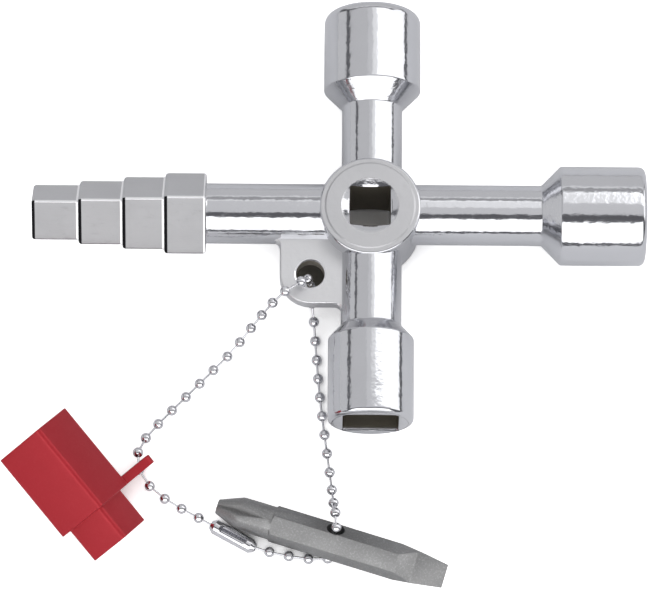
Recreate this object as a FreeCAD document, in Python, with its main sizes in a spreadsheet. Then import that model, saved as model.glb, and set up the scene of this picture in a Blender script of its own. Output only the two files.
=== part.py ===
import FreeCAD, Part
import math
import os
import Sketcher
from FreeCAD import Placement, Rotation, Vector

# Four-way utility key for square, triangular and round locks, with its bit and square adapter
# on a ball chain. Lengths in millimetres. The key lies flat, +X to the right socket,
# +Y to the top socket, +Z up, origin on the table under the crossing of the arms.

doc = FreeCAD.newDocument("utility_key")
sheet = doc.addObject("Spreadsheet::Sheet", "Sizes")

sizes = [
    # the casting: shafts and hub
    ("shaftDiameter", 9.2, "round shafts of the four arms"),
    ("hubDiameter", 15.4, "hub disc"),
    ("hubThickness", 9.6, "hub disc, face to face"),
    ("hubFaceDiameter", 13.2, "raised flat ring on each hub face"),
    ("hubBandDrop", 0.2, "outer band lies this far below the ring"),
    ("hubEdgeChamfer", 0.35, "outer edge of the hub"),
    ("hubSquare", 6.2, "square hole through the hub, across flats"),
    ("hubDishDiameter", 8.9, "conical dish round the square hole"),
    ("hubDishDepth", 0.9, "depth of that dish"),
    # stepped square spindle, left arm
    ("leftShaftLength", 25.2, "hub axis to the first square"),
    ("stepOneSide", 9.5, "across flats"),
    ("stepTwoSide", 8.5, "across flats"),
    ("stepThreeSide", 7.5, "across flats"),
    ("stepFourSide", 6.5, "across flats"),
    ("stepOneLength", 6.25, "along the arm"),
    ("stepTwoLength", 6.35, "along the arm"),
    ("stepThreeLength", 6.7, "along the arm"),
    ("stepFourLength", 7.1, "along the arm"),
    ("stepCornerRadius", 0.5, "long edges of the squares"),
    ("spindleRoll", 41.5, "degrees that the squares are turned about the arm"),
    # sockets
    ("coneLength", 2.9, "shoulder of the right and top sockets"),
    ("rightShaftLength", 25.8, "hub axis to the shoulder"),
    ("rightLength", 15.8, "shoulder to mouth"),
    ("rightDiameter", 15.1, "right socket outside"),
    ("rightRim", 0.9, "rounding of its rim"),
    ("rightSquare", 9.3, "square socket, across flats"),
    ("topShaftLength", 17.0, "hub axis to the shoulder"),
    ("topLength", 15.4, "shoulder to mouth"),
    ("topDiameter", 14.8, "top socket outside"),
    ("topRim", 1.2, "rounding of its rim"),
    ("triangleSide", 10.4, "triangular socket"),
    ("triangleCornerRadius", 0.6, "its corners"),
    ("bottomShaftLength", 17.9, "hub axis to the shoulder"),
    ("bottomLength", 15.2, "shoulder to mouth"),
    ("bottomDiameter", 13.0, "bottom socket outside"),
    ("bottomCone", 2.1, "shoulder of the bottom socket"),
    ("bottomRim", 0.7, "rounding of its rim"),
    ("bottomSquare", 8.3, "square socket, across flats"),
    ("squareCornerRadius", 0.5, "corners of the square sockets"),
    ("socketDepth", 12.0, "depth of each socket"),
    # chain lug
    ("lugLeft", 13.9, "hub axis to the lug's left edge"),
    ("lugBottom", 14.6, "hub axis to the lug's bottom edge"),
    ("lugThickness", 2.5, "lug plate"),
    ("lugCornerRadius", 4.65, "free corner"),
    ("lugFilletRadius", 1.3, "where the edges meet the shafts"),
    ("lugHoleDiameter", 4.25, "chain hole"),
    ("lugHoleInset", 4.65, "hole centre to both free edges"),
    ("lugHoleChamfer", 0.25, "both rims of the chain hole"),
    # screwdriver bit
    ("bitFlats", 4.9, "hexagon across flats"),
    ("hexBack", 9.2, "cross hole to the hexagon's end at the cross tip"),
    ("hexFront", 10.2, "cross hole to where the blade starts"),
    ("bladeReach", 17.6, "cross hole to the blade's edge"),
    ("bladeTipThickness", 0.9, "blade edge"),
    ("bladeTipWidth", 3.5, "blade edge"),
    ("crossShoulder", 14.6, "cross hole to the start of the cross tip's cone"),
    ("crossReach", 18.2, "cross hole to the cross tip's end"),
    ("crossDiameter", 5.1, "cross-tip stem"),
    ("crossTipDiameter", 2.2, "flat end of the cross tip"),
    ("wingThickness", 1.0, "each wing of the cross tip at its end"),
    ("bitHoleDiameter", 2.8, "cross hole for the chain"),
    ("bitHeading", -17.2, "degrees about Z"),
    ("bitRoll", 39.1, "degrees that the hole leans back from upright"),
    ("bitX", -5.56, "hole centre"),
    ("bitY", -50.3, "hole centre"),
    # square adapter
    ("bodySide", 9.35, "large square, across flats"),
    ("bodyLength", 14.8, "large square"),
    ("maleSide", 7.3, "small square, across flats"),
    ("maleLength", 5.8, "small square"),
    ("adapterCornerRadius", 0.7, "long edges of both squares"),
    ("bitSocketFlats", 5.2, "hexagon socket for the bit, across flats"),
    ("bitSocketDepth", 12.0, "its depth"),
    ("earThickness", 1.45, "chain ear"),
    ("earReach", 12.0, "adapter axis to the ear's tip"),
    ("earHeight", 5.0, "ear, edge to edge"),
    ("earDrop", 6.0, "adapter axis down to the ear's lower edge"),
    ("earCornerRadius", 0.9, "ear's tip corners"),
    ("earHoleDiameter", 2.5, "chain hole"),
    ("earHoleInset", 2.3, "hole centre to the ear's tip"),
    ("adapterHeading", -48.7, "degrees about Z"),
    ("adapterLean", 1.5, "degrees that the diagonal leans to the ear"),
    ("adapterX", -41.14, "shoulder centre"),
    ("adapterY", -46.64, "shoulder centre"),
    # chain connector
    ("connectorDiameter", 2.3, "sleeve outside"),
    ("connectorWall", 0.2, "sleeve wall"),
    ("connectorMouth", 0.9, "end holes"),
    ("slotLength", 4.6, "oval slot on top"),
    ("slotWidth", 1.1, "oval slot on top"),
    # ball chain
    ("ballDiameter", 1.6, "chain ball"),
    ("ballCount", 42, "balls from one connector seat to the other"),
    ("ballSides", 8, "flat facets round a ball"),
    ("ballBore", 1.0, "square hole through a ball, across corners"),
    ("pinDiameter", 0.36, "wire between two balls, across corners"),
    ("pinSeat", 0.2, "length of wire inside each ball"),
]

# Route of the chain through the lug, the adapter's ear and the bit, from seat to seat,
# measured from the crossing of the arms. These are the poles of a quadratic spline.
chainRoute = [
    (-23.2, -47.7, 1.15), (-25.7, -46.3, 1.0), (-28.2, -44.9, 0.8), (-30.6, -43.5, 0.8),
    (-32.7, -42.1, 1.2), (-34.3, -40.3, 2.3), (-35.5, -37.9, 2.9), (-34.5, -34.4, 1.2),
    (-32.0, -31.3, 0.8), (-27.8, -27.0, 0.8), (-23.7, -22.7, 0.8), (-21.2, -20.3, 1.3),
    (-18.1, -17.1, 4.3), (-14.9, -14.4, 8.6), (-12.6, -13.0, 10.9), (-10.3, -11.7, 10.9),
    (-9.5, -10.2, 7.7), (-9.2, -11.0, 3.9), (-8.9, -13.8, 3.7), (-8.6, -15.9, 1.7),
    (-8.4, -18.4, 0.8), (-8.0, -23.9, 0.8), (-7.4, -29.6, 0.8), (-6.6, -35.4, 0.8),
    (-5.9, -40.3, 0.8), (-5.6, -43.3, 1.9), (-5.3, -45.8, 4.6), (-4.9, -48.2, 6.7),
    (-5.3, -50.1, 3.0), (-5.9, -52.8, 0.8), (-9.6, -52.4, 0.8), (-12.5, -52.0, 0.8),
    (-15.5, -51.4, 0.9), (-17.9, -50.6, 1.15),
]


class Dim:
    """A size that carries both its number and its formula on the sheet."""

    def __init__(self, text, value):
        self.text = text
        self.value = value

    def __add__(self, other):
        other = asDim(other)
        return Dim("(%s + %s)" % (self.text, other.text), self.value + other.value)

    def __sub__(self, other):
        other = asDim(other)
        return Dim("(%s - %s)" % (self.text, other.text), self.value - other.value)

    def __mul__(self, other):
        other = asDim(other)
        return Dim("(%s * %s)" % (self.text, other.text), self.value * other.value)

    def __truediv__(self, other):
        other = asDim(other)
        return Dim("(%s / %s)" % (self.text, other.text), self.value / other.value)

    def __neg__(self):
        return Dim("(-1 * %s)" % self.text, -self.value)


def asDim(number):
    return number if isinstance(number, Dim) else Dim(repr(float(number)), float(number))


def cosine(angle):
    angle = asDim(angle)
    return Dim("cos(%s * 1 deg)" % angle.text, math.cos(math.radians(angle.value)))


def sine(angle):
    angle = asDim(angle)
    return Dim("sin(%s * 1 deg)" % angle.text, math.sin(math.radians(angle.value)))


def arctangent(ratio):
    return Dim("(atan(%s) / 1 deg)" % ratio.text, math.degrees(math.atan(ratio.value)))


def size(alias):
    return Dim("Sizes.%s" % alias, float(sheet.get(alias)))


def mouth(arm):
    """Hub axis to the mouth of this arm's socket."""
    return size(arm + "ShaftLength") + size(arm + "Length")


def fillSheet():
    for row, (alias, value, note) in enumerate(sizes, start=1):
        sheet.set("A%d" % row, note)
        sheet.set("B%d" % row, str(value))
        sheet.setAlias("B%d" % row, alias)
    doc.recompute()


zero = Dim("0", 0.0)


def sketchOn(body, name, role, along=None, across=None, roll=None):
    """A sketch on one of the body's own origin planes: moved along the plane's normal,
    moved along its x axis, or rolled about its x axis."""
    plane = [feature for feature in body.Origin.OriginFeatures if feature.Role == role][0]
    sketch = body.newObject("Sketcher::SketchObject", name)
    sketch.AttachmentSupport = [(plane, "")]
    sketch.MapMode = "FlatFace"
    moved = Vector(across.value if across else 0, 0, along.value if along else 0)
    sketch.AttachmentOffset = Placement(moved, Rotation(Vector(1, 0, 0), roll or 0))
    if along:
        sketch.setExpression(".AttachmentOffset.Base.z", along.text)
    if across:
        sketch.setExpression(".AttachmentOffset.Base.x", across.text)
    return sketch


def pinPoint(sketch, geometry, end, x, y):
    """Hold one point of a sketch at x, y, or on an axis where a value is zero."""
    for kind, axis, place in (("DistanceX", -2, x), ("DistanceY", -1, y)):
        if place is zero:
            sketch.addConstraint(Sketcher.Constraint("PointOnObject", geometry, end, axis))
        else:
            index = sketch.addConstraint(Sketcher.Constraint(kind, geometry, end, place.value))
            sketch.setExpression("Constraints[%d]" % index, place.text)


def drawOutline(sketch, corners):
    """A closed outline, counterclockwise; a third value at a corner rounds it."""
    count = len(corners)
    points = [Vector(corner[0].value, corner[1].value, 0) for corner in corners]
    arrive, leave, arcs = [], [], []
    for i, corner in enumerate(corners):
        here = points[i]
        back = (points[i - 1] - here).normalize()
        ahead = (points[(i + 1) % count] - here).normalize()
        if len(corner) == 2:
            arrive.append(here)
            leave.append(here)
            arcs.append(None)
            continue
        halfAngle = back.getAngle(ahead) / 2
        radius = corner[2].value
        reach = radius / math.tan(halfAngle)
        centre = here + (back + ahead).normalize() * (radius / math.sin(halfAngle))
        arrive.append(here + back * reach)
        leave.append(here + ahead * reach)
        convex = back.cross(ahead).z < 0
        first, last = (arrive[i], leave[i]) if convex else (leave[i], arrive[i])
        angles = [math.atan2(p.y - centre.y, p.x - centre.x) for p in (first, last)]
        circle = Part.Circle(centre, Vector(0, 0, 1), radius)
        arcs.append((Part.ArcOfCircle(circle, angles[0], angles[1]), convex))
    lines = []
    for i in range(count):
        edge = Part.LineSegment(leave[i], arrive[(i + 1) % count])
        lines.append(sketch.addGeometry(edge, False))
    for i, corner in enumerate(corners):
        x, y = corner[0], corner[1]
        before, after = lines[i - 1], lines[i]
        if arcs[i] is None:
            sketch.addConstraint(Sketcher.Constraint("Coincident", before, 2, after, 1))
            pinPoint(sketch, after, 1, x, y)
            continue
        arc, convex = arcs[i]
        bend = sketch.addGeometry(arc, False)
        tip = sketch.addGeometry(Part.Point(points[i]), True)
        pinPoint(sketch, tip, 1, x, y)
        sketch.addConstraint(Sketcher.Constraint("PointOnObject", tip, 1, before))
        sketch.addConstraint(Sketcher.Constraint("PointOnObject", tip, 1, after))
        arcStart, arcEnd = (1, 2) if convex else (2, 1)
        sketch.addConstraint(Sketcher.Constraint("Tangent", before, 2, bend, arcStart))
        sketch.addConstraint(Sketcher.Constraint("Tangent", after, 1, bend, arcEnd))
        index = sketch.addConstraint(Sketcher.Constraint("Radius", bend, corner[2].value))
        sketch.setExpression("Constraints[%d]" % index, corner[2].text)


def drawPolygon(sketch, sides, acrossCorners, turn, cornerRadius=None):
    """A regular polygon about the origin, its first corner turned from the x axis."""
    corners = []
    for k in range(sides):
        angle = asDim(turn) + 360.0 * k / sides
        corner = [acrossCorners / 2 * cosine(angle), acrossCorners / 2 * sine(angle)]
        corners.append(corner + ([cornerRadius] if cornerRadius else []))
    drawOutline(sketch, corners)


def drawCircle(sketch, x, y, diameter):
    circle = Part.Circle(Vector(x.value, y.value, 0), Vector(0, 0, 1), diameter.value / 2)
    ring = sketch.addGeometry(circle, False)
    pinPoint(sketch, ring, 3, x, y)
    index = sketch.addConstraint(Sketcher.Constraint("Diameter", ring, diameter.value))
    sketch.setExpression("Constraints[%d]" % index, diameter.text)


def turned(body, kind, name, sketch, axis):
    """A Revolution or a Groove of the sketch about one of its own axes."""
    feature = body.newObject("PartDesign::" + kind, name)
    feature.Profile = sketch
    feature.ReferenceAxis = (sketch, [axis])
    feature.Angle = 360
    return feature


def extruded(body, kind, name, sketch, length, reverse=False, midplane=False):
    """A Pad or a Pocket of the sketch."""
    feature = body.newObject("PartDesign::" + kind, name)
    feature.Profile = sketch
    feature.Length = length.value
    feature.setExpression("Length", length.text)
    feature.Reversed = reverse
    feature.Midplane = midplane
    return feature


def newBody(name):
    body = doc.addObject("PartDesign::Body", name)
    body.Label = name
    return body


def squareCorners(side):
    return side * math.sqrt(2.0)


def hexagonCorners(flats):
    return flats * 2.0 / math.sqrt(3.0)


def buildArms(body):
    shaft = size("shaftDiameter") / 2
    rightRadius = size("rightDiameter") / 2
    profile = sketchOn(body, "HorizontalArmProfile", "XY_Plane")
    drawOutline(profile, [
        (-size("leftShaftLength"), zero),
        (mouth("right"), zero),
        (mouth("right"), rightRadius, size("rightRim")),
        (size("rightShaftLength") + size("coneLength"), rightRadius),
        (size("rightShaftLength"), shaft),
        (-size("leftShaftLength"), shaft),
    ])
    turned(body, "Revolution", "HorizontalArm", profile, "H_Axis")

    topRadius = size("topDiameter") / 2
    bottomRadius = size("bottomDiameter") / 2
    profile = sketchOn(body, "VerticalArmProfile", "XY_Plane")
    drawOutline(profile, [
        (zero, -mouth("bottom")),
        (bottomRadius, -mouth("bottom"), size("bottomRim")),
        (bottomRadius, -(size("bottomShaftLength") + size("bottomCone"))),
        (shaft, -size("bottomShaftLength")),
        (shaft, size("topShaftLength")),
        (topRadius, size("topShaftLength") + size("coneLength")),
        (topRadius, mouth("top"), size("topRim")),
        (zero, mouth("top")),
    ])
    turned(body, "Revolution", "VerticalArm", profile, "V_Axis")


def buildHub(body):
    """Hub disc with a raised ring on both faces, each ring dished round the square hole."""
    half = size("hubThickness") / 2
    outer = size("hubDiameter") / 2
    face = size("hubFaceDiameter") / 2
    drop = size("hubBandDrop")
    chamfer = size("hubEdgeChamfer")
    profile = sketchOn(body, "HubProfile", "XZ_Plane")
    drawOutline(profile, [
        (zero, -half),
        (face, -half),
        (face + drop, drop - half),
        (outer - chamfer, drop - half),
        (outer, drop + chamfer - half),
        (outer, half - drop - chamfer),
        (outer - chamfer, half - drop),
        (face + drop, half - drop),
        (face, half),
        (zero, half),
    ])
    turned(body, "Revolution", "Hub", profile, "V_Axis")


def cutHub(body):
    half = size("hubThickness") / 2
    dishTop = size("hubDishDiameter") / 2
    dishFloor = size("hubSquare") * 0.47
    dishDepth = size("hubDishDepth")
    profile = sketchOn(body, "HubDishProfile", "XZ_Plane")
    drawOutline(profile, [(zero, half - dishDepth), (dishFloor, half - dishDepth), (dishTop, half),
                          (zero, half)])
    drawOutline(profile, [(zero, -half), (dishTop, -half), (dishFloor, dishDepth - half),
                          (zero, dishDepth - half)])
    turned(body, "Groove", "HubDish", profile, "V_Axis")

    section = sketchOn(body, "HubSquareSection", "XY_Plane")
    drawPolygon(section, 4, squareCorners(size("hubSquare")), 45.0)
    extruded(body, "Pocket", "HubSquareHole", section, size("hubThickness"), midplane=True)


def buildSpindle(body):
    """Four square steps on the left arm, each smaller than the one before."""
    start = size("leftShaftLength")
    for step in ("One", "Two", "Three", "Four"):
        section = sketchOn(body, "Step%sSection" % step, "YZ_Plane", along=-start)
        across = squareCorners(size("step%sSide" % step))
        drawPolygon(section, 4, across, size("spindleRoll") + 45.0, size("stepCornerRadius"))
        length = size("step%sLength" % step)
        extruded(body, "Pad", "Step%s" % step, section, length, reverse=True)
        start = start + length


def buildLug(body):
    left = size("lugLeft")
    bottom = size("lugBottom")
    fillet = size("lugFilletRadius")
    hidden = size("shaftDiameter") * 0.47
    reach = fillet + 0.6
    plate = sketchOn(body, "LugOutline", "XY_Plane")
    drawOutline(plate, [
        (zero, zero),
        (-(left + reach), zero),
        (-(left + reach), -hidden),
        (-left, -hidden, fillet),
        (-left, -bottom, size("lugCornerRadius")),
        (-hidden, -bottom, fillet),
        (-hidden, -(bottom + reach)),
        (zero, -(bottom + reach)),
    ])
    extruded(body, "Pad", "Lug", plate, size("lugThickness"), midplane=True)

    half = size("lugThickness") / 2
    hole = size("lugHoleDiameter") / 2
    chamfer = size("lugHoleChamfer")
    inset = size("lugHoleInset")
    profile = sketchOn(body, "LugHoleProfile", "XZ_Plane", along=bottom - inset, across=inset - left)
    drawOutline(profile, [
        (zero, -half),
        (hole + chamfer, -half),
        (hole, chamfer - half),
        (hole, half - chamfer),
        (hole + chamfer, half),
        (zero, half),
    ])
    turned(body, "Groove", "LugHole", profile, "V_Axis")


def cutSockets(body):
    """Square, triangular and square sockets in the right, top and bottom arms."""
    depth = size("socketDepth")
    corner = size("squareCornerRadius")

    section = sketchOn(body, "RightSocketSection", "YZ_Plane", along=mouth("right"))
    drawPolygon(section, 4, squareCorners(size("rightSquare")), 45.0, corner)
    extruded(body, "Pocket", "RightSocket", section, depth)

    section = sketchOn(body, "TopSocketSection", "XZ_Plane", along=-mouth("top"))
    triangle = size("triangleSide") * 2.0 / math.sqrt(3.0)
    drawPolygon(section, 3, triangle, 90.0, size("triangleCornerRadius"))
    extruded(body, "Pocket", "TopSocket", section, depth, reverse=True)

    section = sketchOn(body, "BottomSocketSection", "XZ_Plane", along=mouth("bottom"))
    drawPolygon(section, 4, squareCorners(size("bottomSquare")), 45.0, corner)
    extruded(body, "Pocket", "BottomSocket", section, depth)


def buildBit():
    """Hexagon along X with the blade at +X, the cross tip at -X and the hole along Z."""
    body = newBody("screwdriver_bit")
    corners = hexagonCorners(size("bitFlats"))
    apothem = size("bitFlats") / 2
    tipEnd = size("crossReach")
    bladeEnd = size("bladeReach")
    section = sketchOn(body, "HexagonSection", "YZ_Plane", along=-tipEnd)
    drawPolygon(section, 6, corners, 0.0)
    extruded(body, "Pad", "Hexagon", section, tipEnd + bladeEnd)

    stem = size("crossDiameter") / 2
    outside = corners / 2 + 1.0
    profile = sketchOn(body, "CrossTipProfile", "XY_Plane")
    drawOutline(profile, [
        (-(tipEnd + 1.0), size("crossTipDiameter") / 2),
        (-tipEnd, size("crossTipDiameter") / 2),
        (-size("crossShoulder"), stem),
        (-(size("hexBack") + 0.3), stem),
        (-(size("hexBack") - 0.7), outside),
        (-(tipEnd + 1.0), outside),
    ])
    turned(body, "Groove", "CrossTip", profile, "H_Axis")

    wing = size("wingThickness") / 2
    opening = wing + 6.0
    shallow = apothem * 0.8
    farOpening = shallow + 6.0
    deepEnd = sketchOn(body, "FluteAtTip", "YZ_Plane", along=-(tipEnd + 0.5))
    drawOutline(deepEnd, [(wing, wing), (opening, wing), (wing, opening)])
    shallowEnd = sketchOn(body, "FluteRunOut", "YZ_Plane", along=-size("hexBack"))
    drawOutline(shallowEnd, [(shallow, shallow), (farOpening, shallow), (shallow, farOpening)])
    flute = body.newObject("PartDesign::SubtractiveLoft", "Flute")
    flute.Profile = deepEnd
    flute.Sections = [shallowEnd]
    flute.Ruled = True
    pattern = body.newObject("PartDesign::PolarPattern", "Flutes")
    pattern.Originals = [flute]
    pattern.Axis = (deepEnd, ["N_Axis"])
    pattern.Angle = 360
    pattern.Occurrences = 4
    body.Tip = pattern

    half = size("bladeTipThickness") / 2
    start = size("hexFront")
    bend = start + 2.6
    past = bladeEnd + 1.0
    sides = sketchOn(body, "BladeFaces", "XZ_Plane", roll=60)
    drawOutline(sides, [(start, apothem), (bend, half + 0.35), (past, half),
                        (past, apothem + 1.0), (start, apothem + 1.0)])
    drawOutline(sides, [(start, -apothem), (start, -(apothem + 1.0)),
                        (past, -(apothem + 1.0)), (past, -half), (bend, -(half + 0.35))])
    extruded(body, "Pocket", "Blade", sides, corners * 2, midplane=True)

    width = size("bladeTipWidth") / 2
    edges = sketchOn(body, "BladeEdges", "XZ_Plane", roll=150)
    wide = corners / 2
    drawOutline(edges, [(start, wide), (bladeEnd, width), (past, width), (past, wide + 1.0),
                        (start, wide + 1.0)])
    drawOutline(edges, [(start, -wide), (start, -(wide + 1.0)), (past, -(wide + 1.0)),
                        (past, -width), (bladeEnd, -width)])
    extruded(body, "Pocket", "BladeTaper", edges, corners * 2, midplane=True)

    hole = sketchOn(body, "CrossHole", "XY_Plane")
    drawCircle(hole, zero, zero, size("bitHoleDiameter"))
    extruded(body, "Pocket", "ChainHole", hole, corners * 2, midplane=True)
    return body


def buildAdapter():
    """Large square at -X, small square at +X, the ear towards +Y, the bit socket from -X."""
    body = newBody("bit_adapter")
    corner = size("adapterCornerRadius")
    section = sketchOn(body, "BodySection", "YZ_Plane", along=-size("bodyLength"))
    drawPolygon(section, 4, squareCorners(size("bodySide")), 0.0, corner)
    extruded(body, "Pad", "LargeSquare", section, size("bodyLength"))

    section = sketchOn(body, "MaleSection", "YZ_Plane")
    drawPolygon(section, 4, squareCorners(size("maleSide")), 0.0, corner)
    extruded(body, "Pad", "SmallSquare", section, size("maleLength"))

    low = -size("earDrop")
    high = low + size("earHeight")
    reach = size("earReach")
    bend = size("earCornerRadius")
    outline = sketchOn(body, "EarOutline", "YZ_Plane")
    drawOutline(outline, [(zero, low), (reach, low, bend), (reach, high, bend), (zero, high)])
    extruded(body, "Pad", "Ear", outline, size("earThickness"), reverse=True)

    hole = sketchOn(body, "EarHoleCircle", "YZ_Plane")
    drawCircle(hole, reach - size("earHoleInset"), low + size("earHeight") / 2,
               size("earHoleDiameter"))
    extruded(body, "Pocket", "EarHole", hole, size("earThickness") * 2, midplane=True)

    section = sketchOn(body, "BitSocketSection", "YZ_Plane", along=-size("bodyLength"))
    drawPolygon(section, 6, hexagonCorners(size("bitSocketFlats")), 30.0)
    extruded(body, "Pocket", "BitSocket", section, size("bitSocketDepth"), reverse=True)
    return body


def buildConnector(gap):
    """Sleeve along X round the two end balls, gap apart, closed to a small hole at each end."""
    body = newBody("chain_connector")
    ball = size("ballDiameter") / 2
    outside = size("connectorDiameter") / 2
    wall = size("connectorWall")
    mouth = size("connectorMouth") / 2
    seat = asDim(gap) / 2
    bulge = seat + 0.1
    end = seat + ball
    inside = outside - wall
    profile = sketchOn(body, "SleeveProfile", "XY_Plane")
    drawOutline(profile, [
        (-end, mouth),
        (-bulge, inside),
        (bulge, inside),
        (end, mouth),
        (end, mouth + wall),
        (bulge, outside),
        (-bulge, outside),
        (-end, mouth + wall),
    ])
    turned(body, "Revolution", "Sleeve", profile, "H_Axis")

    half = size("slotLength") / 2
    side = size("slotWidth") / 2
    slot = sketchOn(body, "SlotOutline", "XY_Plane")
    straight = half - side / 2
    drawOutline(slot, [
        (-straight, -side),
        (straight, -side),
        (half, -side / 2),
        (half, side / 2),
        (straight, side),
        (-straight, side),
        (-half, side / 2),
        (-half, -side / 2),
    ])
    extruded(body, "Pocket", "Slot", slot, size("connectorDiameter"), reverse=True)
    return body


def buildBall():
    """One flat-faceted ball about Z, with a square hole along its axis."""
    radius = size("ballDiameter") / 2
    rings = []
    for name, latitude in (("South", -45.0), ("LowerBelt", -18.0), ("UpperBelt", 18.0),
                           ("North", 45.0)):
        ring = doc.addObject("Part::RegularPolygon", "Ball%sRing" % name)
        bindValue(ring, "Circumradius", radius * cosine(latitude))
        bindValue(ring, "Placement.Base.z", radius * sine(latitude))
        ring.Polygon = int(size("ballSides").value)
        rings.append(ring)
    solid = doc.addObject("Part::Loft", "BallSolid")
    solid.Sections = rings
    solid.Solid = True
    solid.Ruled = True
    bore = doc.addObject("Part::Prism", "BallBore")
    bore.Polygon = 4
    bindValue(bore, "Circumradius", size("ballBore") / 2)
    bindValue(bore, "Height", radius * 2)
    bindValue(bore, "Placement.Base.z", -radius)
    ball = doc.addObject("Part::Cut", "Ball")
    ball.Base = solid
    ball.Tool = bore
    return ball


def bindValue(feature, name, dim):
    """Set a property from the sheet and keep it bound there."""
    target = feature
    parts = name.split(".")
    if len(parts) == 1:
        setattr(target, name, dim.value)
    feature.setExpression(name, dim.text)


def pointedAlong(direction):
    """Turns the Z axis to this direction."""
    return Rotation(Vector(0, 0, 1), direction)


def place(body, x, y, rotation):
    """Turn a piece and set it down on the table by its own lowest point."""
    resting = body.Shape.copy()
    resting.Placement = Placement(Vector(), rotation)
    lowest = resting.optimalBoundingBox(False).ZMin
    body.Placement = Placement(Vector(x, y, -lowest), rotation)


fillSheet()

key = newBody("key_body")
buildArms(key)
buildSpindle(key)
buildHub(key)
buildLug(key)
doc.recompute()
cutHub(key)
cutSockets(key)
bit = buildBit()
adapter = buildAdapter()
doc.recompute()

# The crossing of the arms, seen from the middle of the key's own footprint.
spindle = sum(size("step%sLength" % step).value for step in ("One", "Two", "Three", "Four"))
reachLeft = size("leftShaftLength").value + spindle
crossing = Vector((reachLeft - mouth("right").value) / 2,
                  (mouth("bottom").value - mouth("top").value) / 2, 0)

lowestArm = max(size("rightDiameter").value, size("topDiameter").value,
                size("bottomDiameter").value) / 2
key.Placement = Placement(crossing + Vector(0, 0, lowestArm), Rotation())

heading = Rotation(Vector(0, 0, 1), size("bitHeading").value)
rolled = Rotation(Vector(1, 0, 0), -size("bitRoll").value)
place(bit, crossing.x + size("bitX").value, crossing.y + size("bitY").value, heading * rolled)

# The adapter rests on the shoulder's corner and on the small square's corner.
heading = Rotation(Vector(0, 0, 1), size("adapterHeading").value)
difference = (squareCorners(size("bodySide")) - squareCorners(size("maleSide"))) / 2
pitch = arctangent(difference / size("maleLength"))
pitched = Rotation(Vector(0, 1, 0), pitch.value)
rolled = Rotation(Vector(1, 0, 0), -size("adapterLean").value)
place(adapter, crossing.x + size("adapterX").value, crossing.y + size("adapterY").value,
      heading * pitched * rolled)

# The chain: balls at equal steps along the route.
poles = [crossing + Vector(*point) for point in chainRoute]
knots = list(range(len(poles) - 1))
repeats = [3] + [1] * (len(knots) - 2) + [3]
curve = Part.BSplineCurve()
curve.buildFromPolesMultsKnots(poles, repeats, knots, False, 2)
count = int(size("ballCount").value)
centres = curve.discretize(Number=count)

first, last = centres[0], centres[-1]
connector = buildConnector((last - first).Length)
doc.recompute()
along = (last - first).normalize()
up = Vector(0, 0, 1)
side = up.cross(along).normalize()
connector.Placement = Placement((first + last) / 2, Rotation(along, side, along.cross(side), "XYZ"))

ball = buildBall()
doc.recompute()
beads = []
for number, centre in enumerate(centres):
    before = centres[max(number - 1, 0)]
    after = centres[min(number + 1, count - 1)]
    bead = doc.addObject("Part::Feature", "chain_bead_%02d" % (number + 1))
    bead.Label = bead.Name
    bead.Shape = ball.Shape.copy()
    bead.Placement = Placement(centre, pointedAlong(after - before))
    beads.append(bead)

pinParts = []
inset = size("ballDiameter").value / 2 - size("pinSeat").value
for number in range(count - 1):
    way = centres[number + 1] - centres[number]
    wire = doc.addObject("Part::Prism", "PinStock%02d" % (number + 1))
    wire.Polygon = 6
    bindValue(wire, "Circumradius", size("pinDiameter") / 2)
    wire.Height = way.Length - 2 * inset
    step = Vector(way).normalize() * inset
    wire.Placement = Placement(centres[number] + step, pointedAlong(way))
    pinParts.append(wire)
pins = doc.addObject("Part::Compound", "chain_pins")
pins.Label = "chain_pins"
pins.Links = pinParts
doc.recompute()

for item in doc.Objects:
    if "Invalid" in item.State or "Error" in item.State:
        raise RuntimeError("%s did not build: %s" % (item.Name, item.State))

os.makedirs("parts", exist_ok=True)
nodes = [key, bit, adapter, connector, pins] + beads
for node in nodes:
    if node.Shape.isNull() or not node.Shape.isValid():
        raise RuntimeError("%s has no valid shape" % node.Label)
    node.Shape.exportStep("parts/%s.step" % node.Label)

print("chain length %.2f, ball pitch %.3f" % (curve.length(), curve.length() / (count - 1)))
for node in nodes[:5]:
    print(node.Label, node.Shape.optimalBoundingBox(False))
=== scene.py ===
import math
import bmesh
import bpy
import numpy as np
from mathutils import Matrix, Vector


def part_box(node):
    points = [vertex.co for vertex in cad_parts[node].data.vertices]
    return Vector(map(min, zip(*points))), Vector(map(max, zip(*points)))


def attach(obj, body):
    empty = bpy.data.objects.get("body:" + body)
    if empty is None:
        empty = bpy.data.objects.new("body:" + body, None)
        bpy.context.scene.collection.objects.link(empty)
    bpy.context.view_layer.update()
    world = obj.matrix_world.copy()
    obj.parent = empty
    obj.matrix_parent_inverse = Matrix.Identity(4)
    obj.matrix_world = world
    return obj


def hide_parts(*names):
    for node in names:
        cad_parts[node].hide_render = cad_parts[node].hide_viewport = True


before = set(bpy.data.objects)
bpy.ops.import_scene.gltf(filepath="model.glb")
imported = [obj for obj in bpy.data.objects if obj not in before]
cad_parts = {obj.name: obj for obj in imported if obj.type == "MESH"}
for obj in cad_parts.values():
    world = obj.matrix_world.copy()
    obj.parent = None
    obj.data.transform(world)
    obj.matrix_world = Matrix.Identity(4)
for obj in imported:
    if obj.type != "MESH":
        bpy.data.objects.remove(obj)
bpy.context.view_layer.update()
mm = 0.001  # settings below are in millimetres
keyLow, keyHigh = (np.array(corner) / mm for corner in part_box("key_body"))
print("frame loaded")

# Camera: a long lens over the key, leaning a little towards its lower edge
cameraSettings = {
    "aim": (-2.001, -12.718, 7.55),
    "distance": 750.0,
    "lean": (0.0, -0.322),  # x and y for each unit of height
    "roll": 0.45,
    "lens": 274.154,
    "sensor": 36.0,
}


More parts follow.
